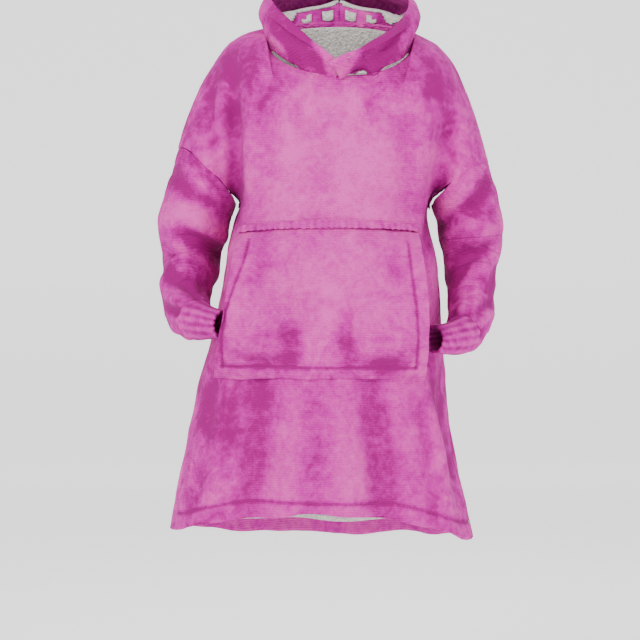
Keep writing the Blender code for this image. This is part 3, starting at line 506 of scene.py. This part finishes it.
def lining_inside(name, node, folds, size, start, away, sheet):
    """The lining that lies inside a body panel and follows its folds."""
    mesh = laid_on(node, 2)
    points, normals = places_of(mesh)
    outside = panel_outside(points, normals, away)
    relief = fold_relief(points, folds) + rumple(points, size, 0.0023, start)
    relief *= shoulder_share(points)
    raise_cloth(mesh, outside, relief)
    points, _ = places_of(mesh)
    strips = np.arange(-0.30, 0.31, STRIP)
    lowest = [points[np.abs(points[:, 0] - x) < STRIP, 2].min(initial=0.0) for x in strips]
    work = bmesh.new()
    work.from_mesh(mesh)
    work.verts.ensure_lookup_table()

    def over_hem(face):
        """How far a face is above the panel's own lower edge."""
        middle = face.calc_center_median()
        return middle.z - np.interp(middle.x, strips, lowest)

    gone = [f for f in work.faces
            if any(outside[v.index] for v in f.verts) or over_hem(f) < LINING_ABOVE_HEM]
    bmesh.ops.delete(work, geom=gone, context="FACES")
    rim = KDTree(4 * len(work.faces))
    for face in work.faces:
        for vert in face.verts:
            if vert.is_boundary and over_hem(face) > LINING_ABOVE_HEM + HEM_EDGE:
                rim.insert(vert.co, 0)
    rim.balance()
    at_seams = [f for f in work.faces if rim.find(f.calc_center_median())[2] < SEAM_WIDTH]
    bmesh.ops.delete(work, geom=at_seams, context="FACES")
    for vert in work.verts:
        vert.co += vert.normal * LINING_GAP
    work.normal_update()
    thick = bmesh.ops.extrude_face_region(work, geom=work.faces[:], use_keep_orig=True)
    for vert in [g for g in thick["geom"] if isinstance(g, bmesh.types.BMVert)]:
        vert.co += vert.normal * LINING_PILE
    bmesh.ops.recalc_face_normals(work, faces=work.faces)
    work.to_mesh(mesh)
    work.free()
    sewn_on(name + "_pile", mesh, name, "sherpa", [sherpa], sheet, held="hung", rests_on=[node + "_cloth"])


lining_inside("front_lining", "front_panel", FRONT_FOLDS, 0.075, 3.0, -1, (0.70, 0.78))
lining_inside("back_lining", "back_panel", BACK_FOLDS, 0.080, 5.0, 1, (0.72, 0.84))

# Sleeves. Wide tubes of the same fleece, lined with sherpa, sewn to the dropped armholes. They
# bag at the elbows, hang in a lobe over the forearms and are drawn in towards the cuffs.
SLEEVE_PATHS = {
    "left": [(-0.225, 0.0, -0.20), (-0.233, 0.004, -0.300), (-0.242, 0.010, -0.350),
             (-0.246, 0.008, -0.400), (-0.250, -0.012, -0.440), (-0.249, -0.050, -0.468),
             (-0.242, -0.088, -0.484), (-0.229, -0.118, -0.492), (-0.182, -0.168, -0.500)],
    "right": [(0.220, 0.0, -0.21), (0.227, 0.004, -0.312), (0.231, 0.010, -0.352),
              (0.233, 0.008, -0.392), (0.231, -0.012, -0.434), (0.226, -0.048, -0.474),
              (0.219, -0.085, -0.502), (0.208, -0.116, -0.516), (0.158, -0.170, -0.524)],
}
SLEEVE_FRONT_FOLDS = {
    "left": [
        ("elbow_hollow", 0.013, 0.014, 0.5,
         [(-0.275, -0.338), (-0.255, -0.345), (-0.241, -0.354), (-0.217, -0.365),
          (-0.190, -0.384), (-0.17, -0.40)]),
        ("bright_ridge", -0.005, 0.016, 0.0,
         [(-0.285, -0.305), (-0.281, -0.321), (-0.259, -0.370), (-0.235, -0.430)]),
        ("upper", 0.006, 0.012, 0.4,
         [(-0.285, -0.225), (-0.262, -0.262), (-0.235, -0.288), (-0.20, -0.298)]),
        ("under_elbow", 0.007, 0.011, -0.4,
         [(-0.300, -0.405), (-0.275, -0.418), (-0.245, -0.440), (-0.215, -0.452)]),
        ("forearm", 0.005, 0.009, 0.4,
         [(-0.290, -0.462), (-0.262, -0.478), (-0.235, -0.478), (-0.212, -0.470)]),
        ("wrist", 0.004, 0.007, 0.3,
         [(-0.255, -0.515), (-0.240, -0.495), (-0.215, -0.480), (-0.19, -0.475)]),
    ],
    "right": [
        ("shoulder_lobe", 0.011, 0.012, -0.5,
         [(0.270, -0.245), (0.253, -0.266), (0.240, -0.294), (0.199, -0.320), (0.170, -0.342)]),
        ("elbow", 0.008, 0.012, 0.4,
         [(0.280, -0.350), (0.250, -0.372), (0.218, -0.393), (0.200, -0.418), (0.18, -0.44)]),
        ("side", 0.005, 0.010, -0.4, [(0.288, -0.385), (0.270, -0.420), (0.255, -0.455)]),
        ("forearm", 0.006, 0.009, 0.4,
         [(0.285, -0.440), (0.255, -0.468), (0.220, -0.486), (0.185, -0.490)]),
        ("wrist", 0.005, 0.007, 0.3, [(0.258, -0.530), (0.235, -0.512), (0.205, -0.503), (0.175, -0.500)]),
        ("upper", 0.004, 0.012, 0.3, [(0.278, -0.285), (0.262, -0.320), (0.235, -0.345), (0.20, -0.365)]),
    ],
}
SLEEVE_BACK_FOLDS = {
    "left": [
        ("elbow", 0.010, 0.013, 0.4,
         [(-0.290, -0.365), (-0.262, -0.352), (-0.232, -0.356), (-0.200, -0.372)]),
        ("upper", 0.006, 0.012, 0.4,
         [(-0.290, -0.250), (-0.262, -0.275), (-0.235, -0.300), (-0.195, -0.310)]),
        ("low", 0.006, 0.011, -0.4,
         [(-0.295, -0.430), (-0.262, -0.418), (-0.228, -0.424), (-0.200, -0.440)]),
    ],
    "right": [
        ("elbow", 0.010, 0.013, -0.4, [(0.276, -0.372), (0.250, -0.358), (0.222, -0.362), (0.190, -0.378)]),
        ("upper", 0.006, 0.012, -0.4, [(0.276, -0.262), (0.250, -0.288), (0.220, -0.310), (0.180, -0.320)]),
        ("low", 0.006, 0.011, 0.4, [(0.280, -0.440), (0.250, -0.428), (0.215, -0.434), (0.190, -0.450)]),
    ],
}
SLEEVE_BASE_NAP = {"left": 0.60, "right": 0.48}
SLEEVE_NAP = {
    "left": [(-0.26, -0.24, 0.05, 0.25), (-0.25, -0.30, 0.03, -0.25), (-0.27, -0.40, 0.05, 0.30),
             (-0.23, -0.45, 0.04, 0.35), (-0.26, -0.34, 0.03, -0.2)],
    "right": [(0.26, -0.27, 0.04, 0.20), (0.25, -0.33, 0.04, -0.25), (0.25, -0.41, 0.05, 0.28),
              (0.21, -0.36, 0.04, 0.25), (0.24, -0.48, 0.04, 0.15)],
}


def along_path(points, path):
    """The nearest place on a sleeve's middle line, and how far down the sleeve it is."""
    path = np.array(path)
    steps = np.linalg.norm(np.diff(path, axis=0), axis=1)
    nearest = np.zeros_like(points)
    reach = np.full(len(points), 9.0)
    down = np.zeros(len(points))
    run = 0.0
    for start, end, step in zip(path, path[1:], steps):
        t = np.clip((points - start) @ (end - start) / step ** 2, 0, 1)
        at = start + t[:, None] * (end - start)
        off = np.linalg.norm(points - at, axis=1)
        nearer = off < reach
        nearest[nearer] = at[nearer]
        down[nearer] = (run + t * step)[nearer]
        reach[nearer] = off[nearer]
        run += step
    return nearest, down


def inner_in_sherpa(mesh, outer):
    """Gives the faces inside a tube the second finish, the lining."""
    corner = np.empty(len(mesh.loops), dtype=np.int32)
    mesh.loops.foreach_get("vertex_index", corner)
    for face in mesh.polygons:
        ring = corner[face.loop_start:face.loop_start + face.loop_total]
        face.material_index = 0 if outer[ring].any() else 1


for side in ("left", "right"):
    sleeve = laid_on("sleeve_" + side, 3)
    points, normals = places_of(sleeve)
    middle, down = along_path(points, SLEEVE_PATHS[side])
    outside = np.einsum("ij,ij->i", normals, points - middle) > 0
    to_front = smooth_step((middle[:, 1] + 0.02 - points[:, 1]) / 0.03)
    relief = fold_relief(points, SLEEVE_FRONT_FOLDS[side], to_front)
    relief += fold_relief(points, SLEEVE_BACK_FOLDS[side], 1 - to_front)
    around = np.arctan2(points[:, 2] - middle[:, 2], points[:, 0] - middle[:, 0])
    gathers = np.sin(around * 9 + down * 30)
    relief += 0.0016 * gathers * smooth_step((down - 0.26) / 0.08) * (1 - smooth_step((down - 0.375) / 0.02))
    relief += rumple(points, 0.05, 0.0024, 7.0) + rumple(points, 0.020, 0.0006, 1.0)
    ends = smooth_step((down - 0.012) / 0.02) * smooth_step((0.40 - down) / 0.02)
    raise_cloth(sleeve, outside, relief * np.maximum(ends, 0.1))
    nap_and_shading = patches_of(points, SLEEVE_BASE_NAP[side], SLEEVE_NAP[side])
    # Folds are painted darker in their troughs as painted shade and paler on their ridges as painted
    # highlight.
    note(sleeve, "nap_and_shading", nap_and_shading + np.clip(-relief / 0.010, -0.25, 0.5))
    note(sleeve, "mottle", np.full(len(points), 1.9))
    note(sleeve, "across", down)
    inner_in_sherpa(sleeve, outside)
    sewn_on("sleeve_%s_cloth" % side, sleeve, "sleeve_" + side, "fleece", [fleece, sherpa], (0.42, 0.32),
            held="gathered", rests_on=["cuff_%s_cloth" % side])

# Cuffs. Doubled bands of the same fleece round the wrists, gathered where the sleeves join
# them, half hidden in the sides of the pocket.
for side in ("left", "right"):
    cuff = laid_on("cuff_" + side, 3)
    points, normals = places_of(cuff)
    middle, down = along_path(points, SLEEVE_PATHS[side])
    outside = np.einsum("ij,ij->i", normals, points - middle) > 0
    around = np.arctan2(points[:, 2] - middle[:, 2], points[:, 0] - middle[:, 0])
    relief = 0.0010 * np.sin(around * 11)
    relief += rumple(points, 0.03, 0.0012, 4.0)
    raise_cloth(cuff, outside, relief * 0.7)
    # The gathers are painted darker in their hollows as painted shade and paler on their crests as painted
    # highlight.
    note(cuff, "nap_and_shading", 0.62 + np.clip(-relief / 0.004, -0.2, 0.3))
    note(cuff, "mottle", np.full(len(points), 1.4))
    note(cuff, "across", down)
    inner_in_sherpa(cuff, outside)
    sewn_on("cuff_%s_cloth" % side, cuff, "cuff_" + side, "fleece", [fleece, sherpa], (0.19, 0.065),
            held="gathered", rests_on=["sleeve_%s_cloth" % side])

# Pocket. One large pouch across the front, sewn down along its arched top and its bottom, with
# a stitched border, open at both sides, and filled out where hands push it forward.
POCKET_FOLDS = [
    ("between_hands", 0.006, 0.016, 0.3, [(-0.075, -0.50), (-0.070, -0.53), (-0.072, -0.565)]),
    ("right_hand_edge", 0.005, 0.014, -0.3,
     [(0.020, -0.46), (0.014, -0.50), (0.016, -0.54), (0.022, -0.575)]),
    ("top_pull_left", 0.003, 0.014, 0.3, [(-0.120, -0.355), (-0.115, -0.40), (-0.135, -0.44)]),
    ("top_pull_right", 0.003, 0.014, -0.3, [(0.095, -0.36), (0.090, -0.40), (0.105, -0.44)]),
    ("left_mouth", 0.004, 0.010, 0.3, [(-0.170, -0.43), (-0.183, -0.48), (-0.190, -0.54)]),
    ("low_left", 0.004, 0.010, 0.4, [(-0.175, -0.558), (-0.12, -0.562), (-0.06, -0.560)]),
    ("low_right", 0.004, 0.010, 0.4, [(0.025, -0.562), (0.08, -0.566), (0.13, -0.562)]),
]
POCKET_BORDER = [
    ("bottom", [(-0.184, -0.569), (-0.10, -0.570), (-0.02, -0.571), (0.06, -0.572), (0.130, -0.572)]),
    ("left", [(-0.141, -0.362), (-0.149, -0.40), (-0.164, -0.44), (-0.177, -0.48), (-0.184, -0.52),
              (-0.184, -0.569)]),
    ("right", [(0.117, -0.370), (0.121, -0.42), (0.127, -0.47), (0.131, -0.52), (0.130, -0.572)]),
]
# Round spots of colour: those along the lower edge are painted shade where the pouch turns under; the others
# lighten or darken it elsewhere.
POCKET_NAP_AND_SHADE = [
    (-0.10, -0.555, 0.06, 0.30), (0.10, -0.56, 0.06, 0.25), (0.0, -0.575, 0.06, 0.2),
    (-0.15, -0.40, 0.05, 0.10), (0.0, -0.43, 0.10, -0.15), (-0.165, -0.55, 0.04, 0.25),
    (0.11, -0.44, 0.05, 0.10),
]
pocket = laid_on("pocket", 4)
points, normals = places_of(pocket)
relief = fold_relief(points, POCKET_FOLDS)
relief = relief + rumple(points, 0.06, 0.0018, 6.0) + rumple(points, 0.02, 0.0005, 3.0)
# Folds are painted darker in their troughs as painted shade and paler on their ridges as painted highlight;
# the border grooves add painted shade.
nap_and_shading = patches_of(points, 0.34, POCKET_NAP_AND_SHADE) + np.clip(-relief / 0.010, -0.2, 0.4)
for _, line in POCKET_BORDER:
    sunk, groove_shade = seam_groove(points, line, 0.0022, 0.0028)
    relief += sunk
    nap_and_shading += groove_shade
raise_cloth(pocket, normals[:, 1] < 0, relief)
note(pocket, "nap_and_shading", nap_and_shading)
note(pocket, "mottle", 1.05 + 0.8 * smooth_step((-0.50 - points[:, 2]) / 0.06))
note(pocket, "across", points[:, 2])
pocket_cloth = sewn_on("pocket_cloth", pocket, "pocket", "fleece", [fleece], (0.38, 0.27),
                       held="hung", rests_on=["pocket_band_cloth"])

# Pocket band. The seam allowance along the pocket's top edge, rolled and stitched down twice,
# so that it stands up as a puckered ridge across the front.
PUCKER = 0.011
band = laid_on("pocket_band", 3)
points, normals = places_of(band)
relief = 0.0007 * np.sin(points[:, 0] * 2 * math.pi / PUCKER + 2 * np.sin(points[:, 0] * 60))
relief = relief + rumple(points, 0.02, 0.0008, 8.0)
raise_cloth(band, normals[:, 1] < 0, relief)
# The puckers are painted darker in their hollows as painted shade and paler on their crests as painted
# highlight.
note(band, "nap_and_shading", 0.48 - relief / 0.008)
note(band, "mottle", np.full(len(points), 0.8))
note(band, "across", points[:, 2])
sewn_on("pocket_band_cloth", band, "pocket_band", "fleece", [fleece], (0.31, 0.021), held="hung",
        rests_on=["pocket_cloth"])

# Hood. Two shaped halves sewn over the crown and round the neckline, with a turned channel along
# the rim. It is down: the rim laps over at the front and the bag hangs behind the shoulders.
HOOD_FOLDS = {
    "left": [
        ("front_valley", 0.005, 0.009, 0.4,
         [(-0.112, 0.010), (-0.091, -0.018), (-0.060, -0.048), (-0.024, -0.080)]),
        ("front_ridge", -0.003, 0.008, 0.0, [(-0.115, -0.012), (-0.095, -0.040), (-0.066, -0.079)]),
        ("low_valley", 0.003, 0.007, 0.3, [(-0.118, -0.030), (-0.100, -0.056), (-0.075, -0.082)]),
        ("bag_fold", 0.006, 0.018, 0.3, [(-0.09, 0.05), (-0.06, -0.02), (-0.03, -0.12)]),
        ("bag_side", 0.004, 0.014, -0.3, [(-0.105, 0.02), (-0.08, -0.05), (-0.045, -0.13)]),
    ],
    "right": [
        ("front_valley", 0.005, 0.008, -0.4,
         [(0.115, 0.000), (0.081, -0.045), (0.055, -0.075), (0.02, -0.098)]),
        ("front_notch", 0.004, 0.006, 0.3, [(0.100, -0.030), (0.081, -0.052), (0.068, -0.078)]),
        ("bag_fold", 0.006, 0.018, -0.3, [(0.095, 0.05), (0.065, -0.02), (0.035, -0.12)]),
        ("bag_side", 0.004, 0.014, 0.3, [(0.115, 0.02), (0.088, -0.05), (0.052, -0.13)]),
    ],
}
HOOD_NAP = [(-0.09, -0.05, 0.05, 0.15), (0.09, -0.05, 0.05, 0.15), (0.0, -0.08, 0.03, -0.08)]
NECK_LAP = 0.010
LAP_REACH = 0.024
TOUCHING = 0.002


def surface_of(mesh):
    """A mesh's faces, to measure distances to."""
    return BVHTree.FromPolygons([v.co for v in mesh.vertices], [p.vertices[:] for p in mesh.polygons])


def near_places(places):
    """A list of places, to find the nearest of."""
    found = KDTree(len(places))
    for i, place in enumerate(places):
        found.insert(place, i)
    found.balance()
    return found


panels = [surface_of(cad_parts[name].data) for name in ("front_panel", "back_panel")]
neck_seam = near_places([vert.co for panel in panels for side in ("left", "right")
                         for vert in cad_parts["hood_" + side].data.vertices
                         if panel.find_nearest(vert.co)[3] < TOUCHING])


def shaped_hood(side, levels):
    """Half the hood with its folds, its lower edge lapped over the neck seam."""
    half = laid_on("hood_" + side, levels)
    points, normals = places_of(half)
    pile = surface_of(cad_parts["hood_lining_" + side].data)
    outside = np.array([pile.ray_cast(Vector(p), Vector(n), TOUCHING)[0] is None
                        for p, n in zip(points, normals)])
    relief = fold_relief(points, HOOD_FOLDS[side]) + rumple(points, 0.045, 0.0016, 2.0)
    relief += rumple(points, 0.018, 0.0005, 5.0)
    raise_cloth(half, outside, relief * 0.8)
    lapped = places_of(half)[0]
    away = np.array([neck_seam.find(p)[2] for p in points])
    lapped[:, 2] -= NECK_LAP * smooth_step(1 - away / LAP_REACH)
    half.vertices.foreach_set("co", lapped.ravel())
    half.update()
    return half, points, outside, relief


for side in ("left", "right"):
    hood, points, outside, relief = shaped_hood(side, 3)
    nap_and_shading = patches_of(points, 0.58, HOOD_NAP)
    # Folds are painted darker in their valleys as painted shade and paler on their ridges as painted
    # highlight.
    note(hood, "nap_and_shading", nap_and_shading + np.clip(-relief / 0.006, -0.25, 0.45))
    note(hood, "mottle", np.full(len(points), 1.6))
    note(hood, "across", points[:, 2] + 0.3 * points[:, 1])
    sewn_on("hood_%s_cloth" % side, hood, "hood_" + side, "fleece", [fleece], (0.30, 0.36), held="draped",
            rests_on=["front_panel_cloth", "back_panel_cloth"])

# Hood linings. The same curly sherpa, sewn in with the hood's seams, which shows behind the neck
# with the hood down. It is thinner where the hood's folds leave little room.
HOOD_LINING_GAP = 0.0006
NECK_TRIM = 0.006
NECK_REACH = 0.012
FULL_ROOM = 0.02
for side in ("left", "right"):
    lining, points, outside, _ = shaped_hood(side, 2)
    work = bmesh.new()
    work.from_mesh(lining)
    work.verts.ensure_lookup_table()
    walls = BVHTree.FromBMesh(work)
    outer = [f for f in work.faces if any(outside[v.index] for v in f.verts)]
    bmesh.ops.delete(work, geom=outer, context="FACES")
    rim = near_places([v.co for v in work.verts if v.is_boundary and neck_seam.find(v.co)[2] < NECK_REACH])
    at_neck = [f for f in work.faces if rim.find(f.calc_center_median())[2] < NECK_TRIM]
    bmesh.ops.delete(work, geom=at_neck, context="FACES")
    work.verts.ensure_lookup_table()
    rooms = []
    for vert in work.verts:
        across = walls.ray_cast(vert.co + vert.normal * 0.0003, vert.normal, FULL_ROOM)[3]
        rooms.append(FULL_ROOM if across is None else across)
        vert.co += vert.normal * min(HOOD_LINING_GAP, 0.05 * rooms[-1])
    work.normal_update()
    lift = [vert.normal * min(LINING_PILE, 0.3 * room) for vert, room in zip(work.verts, rooms)]
    beneath = near_places([v.co for v in work.verts])
    thick = bmesh.ops.extrude_face_region(work, geom=work.faces[:], use_keep_orig=True)
    for vert in [g for g in thick["geom"] if isinstance(g, bmesh.types.BMVert)]:
        vert.co += lift[beneath.find(vert.co)[1]]
    bmesh.ops.recalc_face_normals(work, faces=work.faces)
    work.to_mesh(lining)
    work.free()
    sewn_on("hood_lining_%s_pile" % side, lining, "hood_lining_" + side, "sherpa", [sherpa],
            (0.26, 0.24), held="draped", rests_on=["hood_%s_cloth" % side])

# Stitching. Two-ply thread in the fleece's own magenta, sewn in even stitches along the front hem
# and the pocket's border, each stitch a short raised loop that sinks in at both ends.
thread = bpy.data.materials.new("magenta_thread")
thread.use_nodes = True
thread_surface = thread.node_tree.nodes["Principled BSDF"]
thread_surface.inputs["Base Color"].default_value = (0.30, 0.012, 0.17, 1)
thread_surface.inputs["Roughness"].default_value = 0.55
twist = linked(thread.node_tree, "ShaderNodeTexNoise", (-400, -200), Scale=2600.0,
               Vector=thread.node_tree.nodes.new("ShaderNodeTexCoord").outputs["Object"])
ply = linked(thread.node_tree, "ShaderNodeBump", (-200, -200), Height=twist.outputs[0])
ply.inputs["Strength"].default_value = 0.5
ply.inputs["Distance"].default_value = 0.0003
thread.node_tree.links.new(ply.outputs[0], thread_surface.inputs["Normal"])
STITCH_PITCH = 0.0040
STITCH_LENGTH = 0.0028
THREAD = 0.00045


def stitch_row(name, cloth, line):
    """A row of stitches on a cloth's front face along a line drawn in the front view."""
    surface = surface_of(cloth.data)
    line = [Vector((x, 0, z)) for x, z in line]
    row = bmesh.new()
    left_over = 0.0
    for start, end in zip(line, line[1:]):
        way = end - start
        run = left_over
        while run < way.length:
            from_front = start + way * (run / way.length)
            from_front.y = -1.0
            spot, face_up, _, _ = surface.ray_cast(from_front, Vector((0, 1, 0)))
            run += STITCH_PITCH
            if spot is None:
                continue
            stitch = bmesh.ops.create_uvsphere(row, u_segments=6, v_segments=4, radius=1.0)
            lie = (way.normalized() - face_up * way.normalized().dot(face_up)).normalized()
            turn = lie.to_track_quat("Z", "Y").to_matrix().to_4x4()
            for vert in stitch["verts"]:
                loop = Vector((vert.co.x * THREAD, vert.co.y * THREAD, vert.co.z * STITCH_LENGTH / 2))
                vert.co = turn @ loop + spot + face_up * THREAD * 0.5
        left_over = run - way.length
    mesh = bpy.data.meshes.new(name)
    row.to_mesh(mesh)
    row.free()
    sewn_on(name, mesh, None, "fleece", [thread])


stitch_row("hem_stitches", front_cloth, FRONT_HEM_SEAM)
for part, line in POCKET_BORDER:
    stitch_row("pocket_stitches_" + part, pocket_cloth, line)
